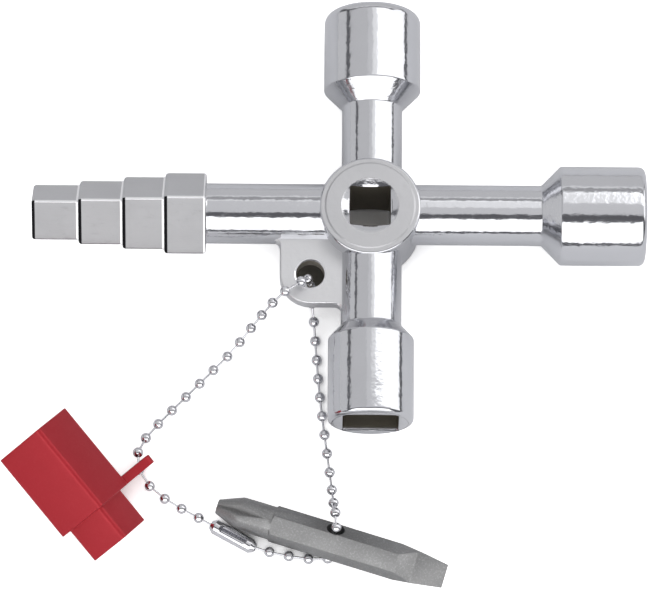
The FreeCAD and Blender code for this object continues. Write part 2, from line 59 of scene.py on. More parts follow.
def makeCamera(s):
    back = Vector((s["lean"][0], s["lean"][1], 1.0)).normalized()
    right = Vector((0, 1, 0)).cross(back).normalized()
    up = back.cross(right)
    turn = Matrix((right, up, back)).transposed() @ Matrix.Rotation(math.radians(s["roll"]), 3, "Z")
    data = bpy.data.cameras.new("camera")
    data.sensor_width = s["sensor"]
    data.lens = s["lens"]
    data.clip_start, data.clip_end = 0.05, 10.0
    camera = bpy.data.objects.new("camera", data)
    camera.matrix_world = Matrix.Translation((Vector(s["aim"]) + back * s["distance"]) * mm) @ turn.to_4x4()
    bpy.context.scene.collection.objects.link(camera)
    bpy.context.scene.camera = camera


makeCamera(cameraSettings)
print("camera placed")


# Four-sided faces over a grid of rows and columns; columns close round, rows where asked
def gridFaces(rows, columns, wrapRows):
    i = np.arange(rows if wrapRows else rows - 1)[:, None]
    j = np.arange(columns)[None, :]
    below, beside = (i + 1) % rows, (j + 1) % columns
    corners = [i * columns + j, i * columns + beside, below * columns + beside, below * columns + j]
    return np.stack(corners, axis=-1).reshape(-1, 4)


# One object from blocks; a block holds points (count, rows, columns, 3) in millimetres,
# whether its rows close round, and its finish with painted light (satin, tone, hollow) at each point
def makePiece(name, blocks, sharpAngle):
    points, faces, finishAndLightPoints, start = [], [], [], 0
    for grid, wrapRows, finishAndLight in blocks:
        count, rows, columns, _ = grid.shape
        one = gridFaces(rows, columns, wrapRows)
        shift = start + np.arange(count)[:, None, None] * rows * columns
        faces.append((one[None] + shift).reshape(-1, 4))
        points.append(grid.reshape(-1, 3))
        finishAndLightPoints.append(np.broadcast_to(finishAndLight, grid.shape).reshape(-1, 3))
        start += count * rows * columns
    points, faces, finishAndLightPoints = np.concatenate(points) * mm, np.concatenate(faces), np.concatenate(finishAndLightPoints)
    mesh = bpy.data.meshes.new(name)
    mesh.vertices.add(len(points))
    mesh.vertices.foreach_set("co", points.astype(np.float32).ravel())
    mesh.loops.add(faces.size)
    mesh.loops.foreach_set("vertex_index", faces.astype(np.int32).ravel())
    mesh.polygons.add(len(faces))
    mesh.polygons.foreach_set("loop_start", np.arange(0, faces.size, 4, dtype=np.int32))
    mesh.update(calc_edges=True)
    layer = mesh.attributes.new("finishAndLight", "FLOAT_VECTOR", "POINT")
    layer.data.foreach_set("vector", finishAndLightPoints.astype(np.float32).ravel())
    tidy = bmesh.new()  # closes seams and poles, then turns all faces outwards
    tidy.from_mesh(mesh)
    bmesh.ops.remove_doubles(tidy, verts=tidy.verts, dist=2e-7)
    bmesh.ops.dissolve_degenerate(tidy, edges=tidy.edges, dist=1e-8)
    bmesh.ops.recalc_face_normals(tidy, faces=tidy.faces)
    tidy.to_mesh(mesh)
    tidy.free()
    mesh.shade_smooth()
    mesh.set_sharp_from_angle(angle=math.radians(sharpAngle))
    piece = bpy.data.objects.new(name, mesh)
    bpy.context.scene.collection.objects.link(piece)
    return piece


# A path through corners, each corner cut by an arc of its own radius with a point beside each end
besideArc = 0.03


def roundedPath(corners, radii, steps=6):
    points = np.array(corners, dtype=float)
    path = [points[0]]
    for before, corner, after, radius in zip(points[:-2], points[1:-1], points[2:], radii):
        back = (before - corner) / np.linalg.norm(before - corner)
        ahead = (after - corner) / np.linalg.norm(after - corner)
        half = math.acos(float(np.clip(back @ ahead, -1, 1))) / 2
        if radius == 0:
            path.append(corner)
            continue
        centre = corner + (back + ahead) / np.linalg.norm(back + ahead) * radius / math.sin(half)
        start = corner + back * radius / math.tan(half) - centre
        end = corner + ahead * radius / math.tan(half) - centre
        sweep, t = math.pi - 2 * half, np.linspace(0, 1, steps + 1)[:, None]
        arc = centre + (np.sin((1 - t) * sweep) * start + np.sin(t * sweep) * end) / math.sin(sweep)
        path.extend([arc[0] + back * besideArc, *arc, arc[-1] + ahead * besideArc])
    path.append(points[-1])
    return np.array(path)


# Distance from the middle of a regular polygon to its edge along each angle: the apothem
# over the cosine from the nearest flat's normal, or the corner's arc
def polygonRadius(angle, sides, apothem, corner, turn):
    step = 2 * math.pi / sides
    off = np.abs((angle - turn + step / 2) % step - step / 2)
    flat = apothem / np.cos(off)
    middle = (apothem - corner) / math.cos(step / 2)
    fromCorner = step / 2 - off
    arc = middle * np.cos(fromCorner) + np.sqrt(np.maximum(corner**2 - (middle * np.sin(fromCorner))**2, 0))
    return np.where(off > math.atan((apothem - corner) * math.tan(step / 2) / apothem), arc, flat)


# Finish and painted light of the casting: satin, tone (painted shade below 0, painted highlight above) and
# hollow (painted shade in sockets and holes)
polished, satin, shadedHollow = (0.0, 0.0, 0.0), (1.0, 0.0, 0.0), (0.0, 0.0, 1.0)

# Key casting: four arms, hub and lug, each a closed shell that runs into the hub's wall
castingSettings = {
    "rightMouth": 41.6,
    "topMouth": 32.4,
    "shaft": 4.6,
    "rootInset": 5.0,
    "rootRound": 0.2,
    "columns": 264,
    # (shaft length, cone length, mouth, radius, rim, sides, apothem, flat's normal in degrees)
    "right": (25.8, 2.9, 41.6, 7.55, 1.0, 4, 4.65, 0.0),
    "top": (17.0, 2.9, 32.4, 7.4, 1.6, 3, 3.0, 30.0),
    "bottom": (17.9, 2.1, 33.1, 6.5, 0.8, 4, 4.15, 0.0),
    "coneEdge": 0.45,
    "coneRoot": 0.35,
    "socketCorner": 0.5,
    "socketDepth": 12.0,
    "socketFloor": 0.01,  # the ring round the socket's middle, as a share of its size
    "mouthBevel": 0.3,
    "mouthLight": 0.4,  # how far the polished mouth reaches into a socket
    "hubTop": 4.85,
    "hubBottom": 6.9,
    "hubShift": (-0.25, -0.1, 0.0),
    "hubOuter": 7.7,
    "hubFace": 6.65,
    "hubDrop": 0.13,
    "hubStep": 0.25,
    "hubRounds": (0.35, 0.1, 0.12, 0.12),
    "hubRim": 0.3,
    "hubSquare": 3.1,
    "hubSquareCorner": 0.25,
    "hubDish": 4.4,
    "dishDepth": 0.72,
    "dishFloor": 2.91,
    "dishSteps": (0.3, 0.7, 0.97),
    # half satin, with a painted highlight over the hub's dish
    "dishSatinAndHighlight": (0.5, 0.35, 0.0),
    "holeStart": 0.05,
    "holeStep": 0.2,
    "leftShaft": 25.2,
    # (distance before the first square, growth) of the shaft's last rings
    "shaftEnd": ((0.3, 1.0), (0.12, 1.0)),
    "shaftFlare": 1.02,
    # (side, length) of the squares, hub outwards
    "squares": ((9.5, 6.25), (8.5, 6.35), (7.5, 6.7), (6.5, 7.1)),
    "squareRoll": 41.5,
    "squareCorner": 0.3,
    # (place from the square's start or end, growth of its side, tone) of its edge rings; tone 1 paints a
    # highlight along a square's start, tone -1 paints a dark reflection as a bar at its end
    "firstStart": ((0.0, -0.5, 0.0), (0.08, -0.16, 1.0), (0.3, 0.0, 1.0), (0.34, 0.0, 0.0)),
    "nextStart": ((0.0, 0.4, 1.0), (0.08, 0.14, 1.0), (0.32, 0.0, 1.0), (0.36, 0.0, 0.0)),
    "squareEnd": ((-0.5, 0.0, 0.0), (-0.46, 0.0, -1.0), (-0.3, -0.04, -1.0), (-0.1, -0.2, -1.0),
                  (0.0, -0.5, -1.0)),
    # painted shade on the squares' front faces and a painted highlight along their upper ridge
    "frontPaintedShade": -0.45,
    "frontMargin": 1.0,
    "ridgePaintedHighlight": 0.9,
    "ridgeHalf": 1.6,  # degrees about the arm
    "lugLeft": 13.9,
    "lugBottom": 14.6,
    "lugHalf": 1.25,
    "lugCorner": 4.65,
    "lugFillet": 1.3,
    "lugHole": 2.125,
    "lugInset": 4.65,
    "lugEdge": 0.3,
    # satin with a painted highlight over the lug and its fillets, and polish with a stronger painted highlight
    # on the rim round its hole
    "lugSatinAndHighlight": (1.0, 0.35, 0.0),
    "lugRimPolishAndHighlight": (0.0, 0.6, 0.0),
    # (growth of the hole, depth below the top) of the rings round the hole's edge
    "lugRim": ((0.0, 0.25), (0.08, 0.08), (0.28, 0.0)),
    "lugRimEnd": 0.34,
    "shaftOverlap": 0.2,
    "filletThinner": 0.01,
    "filletMiddle": 2.5,
    "filletDraw": 0.07,
}
crossing = np.array([keyHigh[0] - castingSettings["rightMouth"], keyHigh[1] - castingSettings["topMouth"],
                     (keyLow[2] + keyHigh[2]) / 2])


# Rings about an arm's axis: each row is a place along it, a radius for each angle and a finish with its painted
# light
def ringBlock(rows, angles, way):
    along = np.array(way, dtype=float)
    side = np.cross([0.0, 0.0, 1.0], along)
    shape = np.stack([np.stack([place + 0 * angles, radius * np.cos(angles), radius * np.sin(angles)], -1)
                      for place, radius, _ in rows])
    finishAndLight = np.stack([np.broadcast_to(mark, (len(angles), 3)) for _, _, mark in rows])
    return (crossing + shape @ np.stack([along, side, [0.0, 0.0, 1.0]]))[None], False, finishAndLight[None]


def armBlock(s, name, way):
    shaft, cone, mouth, radius, rim, sides, apothem, turn = s[name]
    angles = np.linspace(0, 2 * math.pi, s["columns"], endpoint=False)
    outline = roundedPath(
        [(s["rootInset"], 0), (s["rootInset"], s["shaft"]), (shaft, s["shaft"]), (shaft + cone, radius),
         (mouth, radius), (mouth, radius - rim)],
        [s["rootRound"], s["coneRoot"], s["coneEdge"], rim * 0.999], steps=8)
    rows = [(place, reach, polished) for place, reach in outline]
    flat = polygonRadius(angles, sides, apothem, s["socketCorner"], math.radians(turn))
    bevel, floor = s["mouthBevel"], mouth - s["socketDepth"]
    # past the polished mouth the socket's walls take the hollow's painted shade
    rows += [(mouth, flat + bevel, polished), (mouth - bevel * 0.3, flat + bevel * 0.3, polished),
             (mouth - bevel, flat, polished), (mouth - bevel - s["mouthLight"], flat, shadedHollow),
             (floor, flat, shadedHollow), (floor, flat * s["socketFloor"], shadedHollow), (floor, 0, shadedHollow)]
    return ringBlock(rows, angles, way)


# Matrix that turns rows of points (x, y) by an angle
def turnedBy(angle):
    return np.array([[math.cos(angle), math.sin(angle)], [-math.sin(angle), math.cos(angle)]])


# A square with round corners as a closed row of points, always the same number
def squareLoop(side, corner):
    half = side / 2
    turn = np.linspace(0, math.pi / 2, 9)
    arc = np.stack([half - corner + corner * np.cos(turn), half - corner + corner * np.sin(turn)], -1)
    flat = np.stack([np.full(7, half), np.linspace(corner - half, half - corner, 9)[1:-1]], -1)
    quarter = np.concatenate([flat, arc])
    return np.concatenate([quarter @ turnedBy(quarterTurn) for quarterTurn in np.arange(4) * math.pi / 2])


def squareRows(s, place, side, rings):
    return [(place + along, squareLoop(side + growth, s["squareCorner"]), (1.0, paintedLight, 0.0))
            for along, growth, paintedLight in rings]


def spindleBlock(s):
    first = squareLoop(s["squares"][0][0], s["squareCorner"])
    circle = first / np.linalg.norm(first, axis=1, keepdims=True) * s["shaft"]
    start = s["leftShaft"]
    rows = [(s["rootInset"], circle * 0, polished), (s["rootInset"], circle, polished)]
    rows += [(start - before, circle * growth, polished) for before, growth in s["shaftEnd"]]
    rows.append((start, circle * s["shaftFlare"], satin))
    for number, (side, length) in enumerate(s["squares"]):
        rows += squareRows(s, start, side, s["nextStart"] if number else s["firstStart"])
        start += length
        rows += squareRows(s, start, side, s["squareEnd"])
    rows.append((start, first * 0, satin))
    turn = turnedBy(math.radians(s["squareRoll"]))
    shape = np.stack([np.concatenate([np.full((len(loop), 1), -place), loop @ turn], axis=1)
                      for place, loop, _ in rows])
    finishAndLight = np.stack([np.broadcast_to(mark, (len(first), 3)) for _, _, mark in rows])
    bearing = np.degrees(np.arctan2(first @ turn[:, 1], first @ turn[:, 0]))
    ridge = s["squareRoll"] + 45.0
    # painted shade darkens the front faces, and only their ends keep the painted dark bar; a painted highlight
    # brightens their upper ridge
    front = ((bearing > ridge - s["frontMargin"]) & (bearing < ridge + 90.0))[None]
    paintedLight = finishAndLight[:, :, 1]
    plain = (finishAndLight[:, :, 0] == 1.0) & (paintedLight == 0.0)
    paintedLight = np.where((paintedLight < 0.0) & ~front, 0.0, paintedLight) + np.where(plain & front, s["frontPaintedShade"], 0.0)
    paintedLight = np.where(plain & (np.abs(bearing - ridge) < s["ridgeHalf"])[None], s["ridgePaintedHighlight"], paintedLight)
    finishAndLight = np.stack([finishAndLight[:, :, 0], paintedLight, finishAndLight[:, :, 2]], -1)
    return (crossing + shape)[None], False, finishAndLight[None]


# Hub: a closed profile about Z; the dish is a cone that ends on the square hole
def hubRows(s, half, hole, angles):
    outer, face, drop = s["hubOuter"], s["hubFace"], s["hubDrop"]
    path = roundedPath(
        [(outer, 0.0), (outer, half - drop), (face + s["hubStep"], half - drop), (face, half),
         (s["hubDish"], half), (s["dishFloor"], half - s["dishDepth"])],
        s["hubRounds"], steps=5)[:-1]
    rows = []
    for reach, height in path:
        # the dish gets a painted highlight
        mark = polished if reach > outer - s["hubRim"] else s["dishSatinAndHighlight"] if reach < s["hubDish"] else satin
        rows.append((reach + 0 * angles, height + 0 * angles, mark))
    slope, rim = s["dishDepth"] / (s["hubDish"] - s["dishFloor"]), path[-1][0]
    for t in s["dishSteps"]:
        reach = rim + t * (hole - rim)
        rows.append((reach, half - slope * (s["hubDish"] - reach), polished))
    # the square hole's walls take the hollow's painted shade
    deep = half - slope * (s["hubDish"] - hole) - s["holeStart"]
    return rows + [(hole, deep, shadedHollow), (hole, deep - s["holeStep"], shadedHollow), (hole, deep * 0.5, shadedHollow)]


def hubBlock(s):
    angles = np.linspace(0, 2 * math.pi, s["columns"], endpoint=False)
    hole = polygonRadius(angles, 4, s["hubSquare"], s["hubSquareCorner"], 0.0)
    upper, lower = hubRows(s, s["hubTop"], hole, angles), hubRows(s, s["hubBottom"], hole, angles)
    rows = upper + [(reach, -height, mark) for reach, height, mark in reversed(lower)][:-1]
    shape = np.stack([np.stack([reach * np.cos(angles), reach * np.sin(angles), height], -1)
                      for reach, height, _ in rows])
    finishAndLight = np.stack([np.broadcast_to(mark, (len(angles), 3)) for _, _, mark in rows])
    return (crossing + np.array(s["hubShift"]) + shape)[None], True, finishAndLight[None]


# Lug: rings from the hole's edge to the outline, which runs round the hub's hole and is found
# along rays from the lug's hole
def lugBlock(s):
    angles = np.linspace(0, 2 * math.pi, s["columns"], endpoint=False)
    hole = np.array([s["lugInset"] - s["lugLeft"], s["lugInset"] - s["lugBottom"]])
    past, inner = s["hubSquare"] + 0.5, s["shaft"] * 0.48
    outline = roundedPath(
        [(-past, -inner), (-s["lugLeft"], -inner), (-s["lugLeft"], -s["lugBottom"]), (-inner, -s["lugBottom"]),
         (-inner, -past), (-past, -past), (-past, -inner)],
        [0, s["lugCorner"], 0, 0, 0], steps=16)
    dense = np.concatenate([np.linspace(a, b, 20, endpoint=False) for a, b in zip(outline[:-1], outline[1:])])
    rays = dense - hole
    bearing = np.arctan2(rays[:, 1], rays[:, 0]) % (2 * math.pi)
    order = np.argsort(bearing)
    edge = np.interp(angles, bearing[order], np.linalg.norm(rays, axis=1)[order], period=2 * math.pi)
    bore, half, bend, face = s["lugHole"], s["lugHalf"], s["lugEdge"], s["lugSatinAndHighlight"]
    # the lug's bore takes the hollow's painted shade
    upper = [(bore + 0 * angles, half * 0.5, shadedHollow)]
    # painted highlight on the rim round the hole and, weaker, on the faces
    upper += [(bore + growth + 0 * angles, half - depth, s["lugRimPolishAndHighlight"] if growth else shadedHollow)
              for growth, depth in s["lugRim"]]
    upper += [(bore + s["lugRimEnd"] + 0 * angles, half, face), ((bore + edge) / 2, half, face),
              (edge - bend - besideArc, half, face)]
    upper += [(edge - bend + bend * math.sin(t), half - bend + bend * math.cos(t), face)
              for t in np.linspace(0, math.pi / 2, 6)]
    rows = upper + [(radius, -height, mark) for radius, height, mark in reversed(upper)]
    shape = np.stack([np.stack([hole[0] + radius * np.cos(angles), hole[1] + radius * np.sin(angles),
                                height + 0 * angles], -1) for radius, height, _ in rows])
    finishAndLight = np.stack([np.broadcast_to(mark, (len(angles), 3)) for _, _, mark in rows])
    return (crossing + shape)[None], True, finishAndLight[None]


# Fillet between the lug and a shaft: a quarter arc that curves in, fanned from a middle inside the
# lug. It is a little thinner than the lug, so that the two tops don't share a plane
def filletBlock(s, corner):
    radius, half, bend = s["lugFillet"], s["lugHalf"] - s["filletThinner"], s["lugEdge"]
    corner, outward = np.array(corner), np.array((-1.0, -1.0))
    turns = np.linspace(0, math.pi / 2, 16)[:, None]
    arc = corner + outward * radius - outward * radius * np.concatenate([np.cos(turns), np.sin(turns)], axis=1)
    apex = corner - outward * s["filletMiddle"]
    loop = np.concatenate([arc, apex[None]])
    drawn = loop + (apex - loop) * s["filletDraw"]
    flat = np.repeat(apex[None], len(loop), axis=0)
    rows = [(flat, half), (drawn, half), (loop, half - bend),
            (loop, bend - half), (drawn, -half), (flat, -half)]
    shape = np.stack([np.concatenate([points, np.full((len(loop), 1), height)], axis=1)
                      for points, height in rows])
    return (crossing + shape)[None], False, np.array(s["lugSatinAndHighlight"])


def makeCasting(s):
    blocks = [armBlock(s, "right", (1, 0, 0)), armBlock(s, "top", (0, 1, 0)), armBlock(s, "bottom", (0, -1, 0)),
              spindleBlock(s), hubBlock(s), lugBlock(s),
              filletBlock(s, (-s["lugLeft"], s["shaftOverlap"] - s["shaft"])),
              filletBlock(s, (s["shaftOverlap"] - s["shaft"], -s["lugBottom"]))]
    casting = makePiece("key_casting", blocks, sharpAngle=40.0)
    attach(casting, "root")
    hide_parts("key_body")
    return casting


casting = makeCasting(castingSettings)
print("casting made")


# Ball chain, on the places of the CAD balls
chainSettings = {
    "ballRadius": 0.8,
    "holeRadius": 0.3,
    "lipRadius": 0.38,
    "recess": 0.32,
    "wireRadius": 0.17,
    "wireSeat": 0.3,
    "lipDrop": 0.04,
    "ballColumns": 24,
    "ballRows": 13,
    "wireColumns": 10,
}


def ballPlaces():
    names = sorted(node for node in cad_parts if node.startswith("chain_bead"))
    boxes = np.array([[tuple(corner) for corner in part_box(name)] for name in names])
    return names, boxes.mean(axis=1) / mm


# Two unit vectors square to each direction, and the direction itself: (count, 3, 3)
def axesAlong(directions):
    along = directions / np.linalg.norm(directions, axis=1, keepdims=True)
    helper = np.where(np.abs(along[:, 2:3]) > 0.9, [[1.0, 0.0, 0.0]], [[0.0, 0.0, 1.0]])
    side = np.cross(helper, along)
    side /= np.linalg.norm(side, axis=1, keepdims=True)
    return np.stack([side, np.cross(along, side), along], axis=1)


# Points (r cos a, r sin a, z) of a profile (r, z) turned about each axis
def turnedProfile(profile, columns, centres, axes):
    angle = np.linspace(0, 2 * np.pi, columns, endpoint=False)
    radius, height = profile[:, 0:1], profile[:, 1:2]
    local = np.stack([radius * np.cos(angle), radius * np.sin(angle), height + 0 * angle], axis=-1)
    return centres[:, None, None, :] + np.einsum("rck,nkx->nrcx", local, axes)


def makeChain(s):
    names, centres = ballPlaces()
    ways = np.diff(centres, axis=0)
    ends = np.concatenate([ways[:1], ways[1:] + ways[:-1], ways[-1:]])
    radius = s["ballRadius"]
    edge = math.acos(s["lipRadius"] / radius)
    latitude = np.linspace(-edge, edge, s["ballRows"])
    shell = np.stack([radius * np.cos(latitude), radius * np.sin(latitude)], axis=1)
    lip = radius * math.sin(edge)
    bore, recess = s["holeRadius"], s["recess"]
    lower = np.array([[0.0, -recess], [bore, -recess], [bore, s["lipDrop"] - lip]])
    profile = np.concatenate([lower, shell, lower[::-1] * [1, -1]])
    balls = turnedProfile(profile, s["ballColumns"], centres, axesAlong(ends))

    reach = np.linalg.norm(ways, axis=1)
    seat = radius - s["wireSeat"]
    start = centres[:-1] + ways / reach[:, None] * seat
    wire = np.array([[0.0, 0.0], [1.0, 0.0], [1.0, 1.0], [0.0, 1.0]])
    angle = np.linspace(0, 2 * np.pi, s["wireColumns"], endpoint=False)
    around = np.stack([np.cos(angle), np.sin(angle)], axis=-1) * s["wireRadius"]
    ring = wire[:, 0][:, None, None] * around[None]
    axes = axesAlong(ways)
    flat = np.einsum("rck,nkx->nrcx", ring, axes[:, :2])
    length = (reach - 2 * seat)[:, None, None, None] * wire[:, 1][None, :, None, None]
    wires = start[:, None, None, :] + flat + length * axes[:, 2][:, None, None, :]
    plain = (0.0, 0.0, 0.0)
    chain = makePiece("ball_chain", [(balls, False, plain), (wires, False, plain)], sharpAngle=50.0)
    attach(chain, "root")
    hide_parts("chain_pins", *names)
    return chain


# A copy of a CAD piece, merged into flat faces, with narrow bevels along its edges
fineSettings = {
    "merge": 0.002,
    "flatWithin": 1.5,  # degrees
    "sharpFrom": 30.0,
    "bevelFrom": 28.0,
    "bevelSegments": 3,
    "bit": 0.13,
    "adapter": 0.22,
    "connector": 0.06,
}


def fineCopy(s, node, name, bevelWidth):
    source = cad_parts[node]
    mesh = source.data.copy()
    mesh.name = name
    mesh.transform(source.matrix_world)
    tidy = bmesh.new()
    tidy.from_mesh(mesh)
    bmesh.ops.remove_doubles(tidy, verts=tidy.verts, dist=s["merge"] * mm)
    bmesh.ops.dissolve_limit(
        tidy, angle_limit=math.radians(s["flatWithin"]), verts=tidy.verts, edges=tidy.edges)
    bmesh.ops.recalc_face_normals(tidy, faces=tidy.faces)
    tidy.to_mesh(mesh)
    tidy.free()
    mesh.shade_smooth()
    mesh.set_sharp_from_angle(angle=math.radians(s["sharpFrom"]))
    piece = bpy.data.objects.new(name, mesh)
    bpy.context.scene.collection.objects.link(piece)
    bevel = piece.modifiers.new("edges", "BEVEL")
    bevel.width = bevelWidth * mm
    bevel.segments = s["bevelSegments"]
    bevel.limit_method = "ANGLE"
    bevel.angle_limit = math.radians(s["bevelFrom"])
    bevel.harden_normals = True
    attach(piece, "root")
    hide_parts(node)
    return piece


bit = fineCopy(fineSettings, "screwdriver_bit", "bit_forged", fineSettings["bit"])
adapter = fineCopy(fineSettings, "bit_adapter", "adapter_coated", fineSettings["adapter"])
connector = fineCopy(fineSettings, "chain_connector", "connector_rolled",
                     fineSettings["connector"])
chain = makeChain(chainSettings)
print("ball chain, bit, adapter and connector made")


# Node groups: a new group with float inputs and one float output, and its nodes by a helper
def newGroup(name, inputs):
    group = bpy.data.node_groups.new(name, "ShaderNodeTree")
    for label, value in inputs:
        socket = group.interface.new_socket(label, in_out="INPUT", socket_type="NodeSocketFloat")
        socket.default_value = value
    group.interface.new_socket("Value", in_out="OUTPUT", socket_type="NodeSocketFloat")
    return group, group.nodes.new("NodeGroupInput"), group.nodes.new("NodeGroupOutput")


# Links a socket to a source, or gives it a plain value
def feed(tree, source, socket):
    if hasattr(source, "is_output"):
        tree.links.new(source, socket)
    else:
        socket.default_value = source


def addNode(tree, kind, links=(), **options):
    node = tree.nodes.new("ShaderNode" + kind)
    for key, value in options.items():
        setattr(node, key, value)
    for socket, source in links:
        feed(tree, source, node.inputs[socket])
    return node


def math2(tree, operation, a, b, clamp=False):
    return addNode(tree, "Math", [(0, a), (1, b)], operation=operation, use_clamp=clamp).outputs[0]


# The object's own coordinates, moved by the seed
def seededPlace(group, given):
    place = addNode(group, "TexCoord")
    return addNode(group, "VectorMath", [(0, place.outputs["Object"]), (1, given.outputs["Seed"])],
                   operation="ADD").outputs[0]


# Noise in the object's own coordinates, its scale in waves for each metre
def makeNoiseGroup():
    inputs = [("Scale", 1000.0), ("Detail", 3.0), ("Roughness", 0.5), ("Seed", 0.0)]
    group, given, out = newGroup("surface noise", inputs)
    noise = addNode(group, "TexNoise", [
        ("Vector", seededPlace(group, given)), ("Scale", given.outputs["Scale"]),
        ("Detail", given.outputs["Detail"]), ("Roughness", given.outputs["Roughness"])])
    group.links.new(noise.outputs["Fac"], out.inputs["Value"])
    return group


# Fine scratches: thin lines where a stretched, bent noise passes its middle
def makeScratchGroup():
    group, given, out = newGroup("fine scratches", [("Scale", 160.0), ("Width", 0.02), ("Seed", 0.0)])
    turned = addNode(group, "Mapping", [
        ("Vector", seededPlace(group, given)), ("Rotation", (0.3, 0.2, 0.9)), ("Scale", (1.0, 9.0, 5.0))])
    noise = addNode(group, "TexNoise", [
        ("Vector", turned.outputs[0]), ("Scale", given.outputs["Scale"]), ("Detail", 2.0)])
    off = math2(group, "ABSOLUTE", math2(group, "SUBTRACT", noise.outputs["Fac"], 0.5), 0.0)
    line = math2(group, "SUBTRACT", 1.0, math2(group, "DIVIDE", off, given.outputs["Width"]), clamp=True)
    group.links.new(line, out.inputs["Value"])
    return group


noiseGroup, scratchGroup = makeNoiseGroup(), makeScratchGroup()


def useGroup(tree, group, **values):
    node = tree.nodes.new("ShaderNodeGroup")
    node.node_tree = group
    for label, value in values.items():
        node.inputs[label].default_value = value
    return node.outputs["Value"]


def mixColour(tree, factor, a, b):
    node = addNode(tree, "Mix", data_type="RGBA")
    first, second = [socket for socket in node.inputs if socket.type == "RGBA"]
    feed(tree, factor, node.inputs[0])
    for source, socket in ((a, first), (b, second)):
        feed(tree, (*source, 1.0) if isinstance(source, tuple) else source, socket)
    return [socket for socket in node.outputs if socket.type == "RGBA"][0]


def mixValue(tree, factor, a, b):
    return addNode(tree, "Mix", [(0, factor), (2, a), (3, b)], data_type="FLOAT").outputs[0]


def newMaterial(name, **constants):
    material = bpy.data.materials.new(name)
    material.use_nodes = True
    shader = material.node_tree.nodes["Principled BSDF"]
    for label, value in constants.items():
        shader.inputs[label].default_value = value
    return material, material.node_tree, shader


# A value plus a share of how far a mask lies above its middle
def swing(tree, value, mask, middle, share):
    above = math2(tree, "SUBTRACT", mask, middle)
    return math2(tree, "ADD", value, math2(tree, "MULTIPLY", above, share))


# Polished and satin nickel over a casting, with painted light: finish gives satin, tone (painted shade or
# painted highlight) and hollow (painted shade)
castSettings = {
    "polished": (0.66, 0.665, 0.69),
    "satin": (0.60, 0.60, 0.612),
    # colours that the tone mixes in: painted shade and painted highlight
    "paintedShade": (0.012, 0.012, 0.014),
    "paintedHighlight": (0.95, 0.95, 0.96),
    # painted shade: dark olive inside the sockets and holes
    "shadedHollow": (0.27, 0.245, 0.20),
    "polishedRoughness": 0.1,
    "satinRoughness": 0.42,
    "mottle": (0.2, 0.2, 0.22),
    "mottleShare": 0.16,
    "cloud": {"Scale": 140.0, "Detail": 4.0, "Roughness": 0.6, "Seed": 0.7},
    "cloudMiddle": 0.4,
    "cloudRoughness": 0.08,
    "scratch": {"Scale": 150.0, "Width": 0.012},
    "scratchRoughness": 0.1,
    "hollowRoughness": 0.4,
    # heights in millimetres
    "wave": {"Scale": 900.0, "Detail": 2.5, "Roughness": 0.55},
    "waveHeight": 0.034,
    "grain": {"Scale": 6500.0, "Detail": 2.0, "Roughness": 0.6, "Seed": 0.3},
    "grainHeight": 0.0022,
}


def makeCastNickel(s):
    material, tree, shader = newMaterial("cast nickel", Metallic=1.0)
    finishAndLight = addNode(tree, "Attribute", attribute_name="finishAndLight").outputs["Vector"]
    satinMask, paintedLight, shadedHollowMask = addNode(tree, "SeparateXYZ", [(0, finishAndLight)]).outputs
    wave, grain, cloud = (useGroup(tree, noiseGroup, **s[kind]) for kind in ("wave", "grain", "cloud"))
    scratch = useGroup(tree, scratchGroup, **s["scratch"])
    base = mixColour(tree, satinMask, s["polished"], s["satin"])
    mottled = mixColour(tree, math2(tree, "MULTIPLY", cloud, s["mottleShare"]), base, s["mottle"])
    # painted highlight where the tone is above 0, painted shade where it is below
    lit = mixColour(tree, math2(tree, "MAXIMUM", paintedLight, 0.0), mottled, s["paintedHighlight"])
    shaded = mixColour(tree, math2(tree, "MULTIPLY", paintedLight, -1.0, clamp=True), lit, s["paintedShade"])
    # painted shade over the hollows
    tree.links.new(mixColour(tree, shadedHollowMask, shaded, s["shadedHollow"]), shader.inputs["Base Color"])
    rough = mixValue(tree, satinMask, s["polishedRoughness"], s["satinRoughness"])
    rough = swing(tree, rough, cloud, s["cloudMiddle"], s["cloudRoughness"])
    rough = math2(tree, "ADD", rough, math2(tree, "MULTIPLY", scratch, s["scratchRoughness"]))
    inside = math2(tree, "MULTIPLY", shadedHollowMask, s["hollowRoughness"])
    tree.links.new(math2(tree, "ADD", rough, inside, clamp=True), shader.inputs["Roughness"])
    satinGrain = math2(tree, "MULTIPLY", grain, math2(tree, "MULTIPLY", satinMask, s["grainHeight"]))
    height = math2(tree, "ADD", math2(tree, "MULTIPLY", wave, s["waveHeight"]), satinGrain)
    bump = addNode(tree, "Bump", [("Height", height), ("Distance", mm), ("Strength", 1.0)])
    tree.links.new(bump.outputs["Normal"], shader.inputs["Normal"])
    return material


# A grained coat or steel: colour with cloudy variation, fine scratches and grain bump
grainedSettings = {
    "cloudDetail": {"Detail": 4.0, "Roughness": 0.6},
    "grainDetail": {"Detail": 3.0, "Roughness": 0.65, "Seed": 0.4},
    "middle": 0.5,
    "scratch": {"Scale": 130.0, "Width": 0.015},
    "cloudRoughness": 0.12,
    "scratchRoughness": 0.08,
}


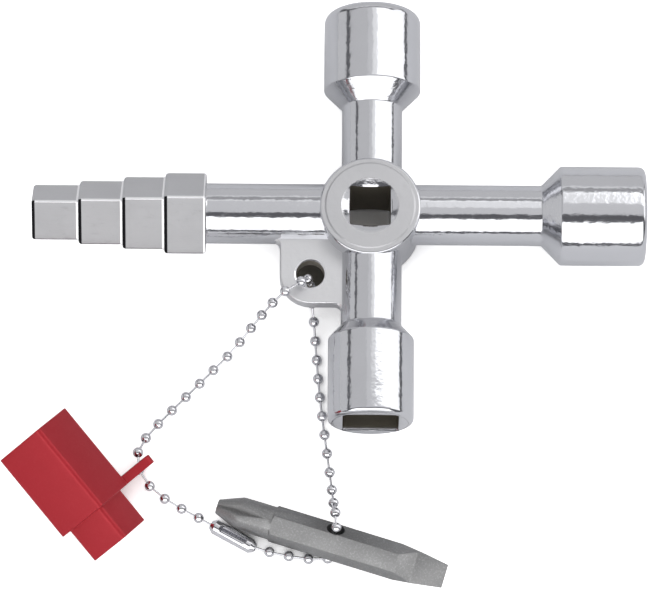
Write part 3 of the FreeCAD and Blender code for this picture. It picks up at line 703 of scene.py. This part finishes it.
def makeGrained(name, given):
    s = {**grainedSettings, **given}
    material, tree, shader = newMaterial(name, Metallic=s["metallic"])
    cloud = useGroup(tree, noiseGroup, Scale=s["cloudScale"], **s["cloudDetail"])
    grain = useGroup(tree, noiseGroup, Scale=s["grainScale"], **s["grainDetail"])
    scratch = useGroup(tree, scratchGroup, **s["scratch"])
    base = mixColour(tree, cloud, s["colour"], s["shade"])
    speck = math2(tree, "MULTIPLY", math2(tree, "SUBTRACT", grain, s["middle"]), s["speck"], clamp=True)
    tree.links.new(mixColour(tree, speck, base, s["light"]), shader.inputs["Base Color"])
    rough = swing(tree, s["roughness"], cloud, s["middle"], s["cloudRoughness"])
    scratched = math2(tree, "MULTIPLY", scratch, s["scratchRoughness"])
    tree.links.new(math2(tree, "ADD", rough, scratched, clamp=True), shader.inputs["Roughness"])
    edges = addNode(tree, "Bevel", [("Radius", s["edgeRadius"])])
    bump = addNode(tree, "Bump", [("Height", grain), ("Distance", s["grainHeight"]), ("Strength", 1.0),
                                  ("Normal", edges.outputs["Normal"])])
    tree.links.new(bump.outputs["Normal"], shader.inputs["Normal"])
    return material


# grain heights and edge radii in metres, scales in waves for each metre
bitSettings = {
    "colour": (0.30, 0.30, 0.30), "shade": (0.23, 0.23, 0.23), "light": (0.46, 0.46, 0.46), "speck": 2.2,
    "metallic": 0.85, "roughness": 0.42, "cloudScale": 220.0, "grainScale": 3600.0,
    "grainHeight": 0.000006, "edgeRadius": 0.00018,
}
redSettings = {
    "colour": (0.45, 0.014, 0.026), "shade": (0.37, 0.009, 0.017), "light": (0.5, 0.05, 0.06), "speck": 0.6,
    "metallic": 0.35, "roughness": 0.38, "cloudScale": 150.0, "grainScale": 2500.0,
    "grainHeight": 0.000003, "edgeRadius": 0.00032,
}
chainSteelSettings = {
    "colour": (0.76, 0.76, 0.78), "shade": (0.66, 0.66, 0.69), "light": (0.85, 0.85, 0.86), "speck": 0.4,
    "metallic": 1.0, "roughness": 0.1, "cloudScale": 900.0, "grainScale": 3000.0,
    "grainHeight": 0.000002, "edgeRadius": 0.0001,
}
castNickel = makeCastNickel(castSettings)
bitSteel = makeGrained("bit steel", bitSettings)
redCoat = makeGrained("red coat", redSettings)
chainNickel = makeGrained("chain nickel", chainSteelSettings)


def dress(piece, material):
    piece.data.materials.clear()
    piece.data.materials.append(material)


dress(chain, chainNickel)
dress(casting, castNickel)
dress(bit, bitSteel)
dress(adapter, redCoat)
dress(connector, chainNickel)
print("materials set")

# Studio: white table, panels overhead and in front with a slot for the camera between them
studioSettings = {
    "floorSize": 2400.0,
    "floorColour": (0.93, 0.93, 0.93),
    "floorReflected": (0.80, 0.805, 0.82),
    "floorRoughness": 0.9,
    "floorGlow": 0.7,
    # how far shelter is felt, where the glow starts and how fast it grows
    "shelterReach": 12.0,
    "shelterStart": 0.12,
    "shelterGrowth": 3.0,
    "world": (0.14, 0.14, 0.15),
    "panels": [
        # centre, aim (the way it faces), width, height, radiance
        ((-244.0, 82.0, 300.0), (-244.0, 82.0, 0.0), 370.0, 314.0, 0.56),
        ((-25.0, 82.0, 300.0), (-25.0, 82.0, 0.0), 66.0, 314.0, 0.66),
        ((223.0, -7.0, 300.0), (223.0, -7.0, 0.0), 430.0, 136.0, 0.66),
        ((36.0, 150.0, 300.0), (36.0, 150.0, 0.0), 56.0, 178.0, 1.0),
        ((251.0, 150.0, 300.0), (251.0, 150.0, 0.0), 374.0, 178.0, 1.7),
        ((600.0, 180.0, 257.0), (0.0, 180.0, 257.0), 600.0, 325.0, 1.5),
        ((0.0, -283.5, 187.7), (0.0, 0.0, 0.0), 660.0, 310.0, 1.9),
        ((-520.0, 0.0, 115.0), (0.0, 0.0, 60.0), 600.0, 260.0, 0.6),
        ((0.0, 620.0, 235.0), (0.0, 0.0, 60.0), 1400.0, 480.0, 0.56),
        ((0.0, 800.0, 800.0), (0.0, 0.0, 0.0), 1600.0, 400.0, 0.3),
    ],
    # painted shade: a dark disc on the table under the lug's hole, seen through it as shadow
    "shadowCardMiddle": (-4.25, -6.8),
    "shadowCardRadius": 2.5,
    "shadowCardHeight": 0.03,
    "shadowCardCorners": 48,
    "shadowCardColour": (0.075, 0.07, 0.055, 1.0),
}


# A flat face of the set, through its corners in millimetres
def stageFace(name, corners, material):
    mesh = bpy.data.meshes.new(name)
    mesh.from_pydata((np.array(corners) * mm).tolist(), [], [tuple(range(len(corners)))])
    mesh.materials.append(material)
    face = bpy.data.objects.new(name, mesh)
    bpy.context.scene.collection.objects.link(face)


def makeStudio(s):
    material, tree, shader = newMaterial("floor", Metallic=0.0, Roughness=s["floorRoughness"])
    shader.inputs["Specular IOR Level"].default_value = 0.0
    # open parts of the table glow for the camera only, so that it is white but reflects softer
    seen = addNode(tree, "LightPath").outputs["Is Camera Ray"]
    tree.links.new(mixColour(tree, seen, s["floorReflected"], s["floorColour"]), shader.inputs["Base Color"])
    shelter = addNode(tree, "AmbientOcclusion", [("Distance", s["shelterReach"] * mm)]).outputs["AO"]
    above = math2(tree, "SUBTRACT", shelter, s["shelterStart"])
    openness = math2(tree, "MULTIPLY", above, s["shelterGrowth"], clamp=True)
    glow = mixColour(tree, math2(tree, "MULTIPLY", seen, openness), (0.0, 0.0, 0.0), (1.0, 1.0, 1.0))
    tree.links.new(glow, shader.inputs["Emission Color"])
    shader.inputs["Emission Strength"].default_value = s["floorGlow"]
    half = s["floorSize"] / 2
    stageFace("floor", [(-half, -half, 0), (half, -half, 0), (half, half, 0), (-half, half, 0)], material)
    # painted shade: a dark disc under the lug's hole
    around = np.linspace(0, 2 * math.pi, s["shadowCardCorners"], endpoint=False)
    shadowCardX, shadowCardY = s["shadowCardMiddle"]
    disc = np.stack([shadowCardX + s["shadowCardRadius"] * np.cos(around), shadowCardY + s["shadowCardRadius"] * np.sin(around),
                     s["shadowCardHeight"] + 0 * around], -1)
    shadowCard, _, shadowCardShader = newMaterial("shadowCard", Metallic=0.0, Roughness=s["floorRoughness"])
    shadowCardShader.inputs["Base Color"].default_value = s["shadowCardColour"]
    stageFace("shadowCard", disc, shadowCard)
    world = bpy.data.worlds.new("studio")
    world.use_nodes = True
    world.node_tree.nodes["Background"].inputs["Color"].default_value = (*s["world"], 1.0)
    bpy.context.scene.world = world
    for number, (place, aim, width, height, radiance) in enumerate(s["panels"]):
        data = bpy.data.lights.new("panel %d" % number, "AREA")
        data.shape = "RECTANGLE"
        data.size, data.size_y = width * mm, height * mm
        data.energy = radiance * math.pi * data.size * data.size_y
        panel = bpy.data.objects.new(data.name, data)
        panel.location = Vector(place) * mm
        panel.rotation_euler = (Vector(aim) - Vector(place)).to_track_quat("-Z", "Y").to_euler()
        bpy.context.scene.collection.objects.link(panel)


makeStudio(studioSettings)
bpy.context.scene.view_settings.view_transform = "Standard"
print("studio lit")
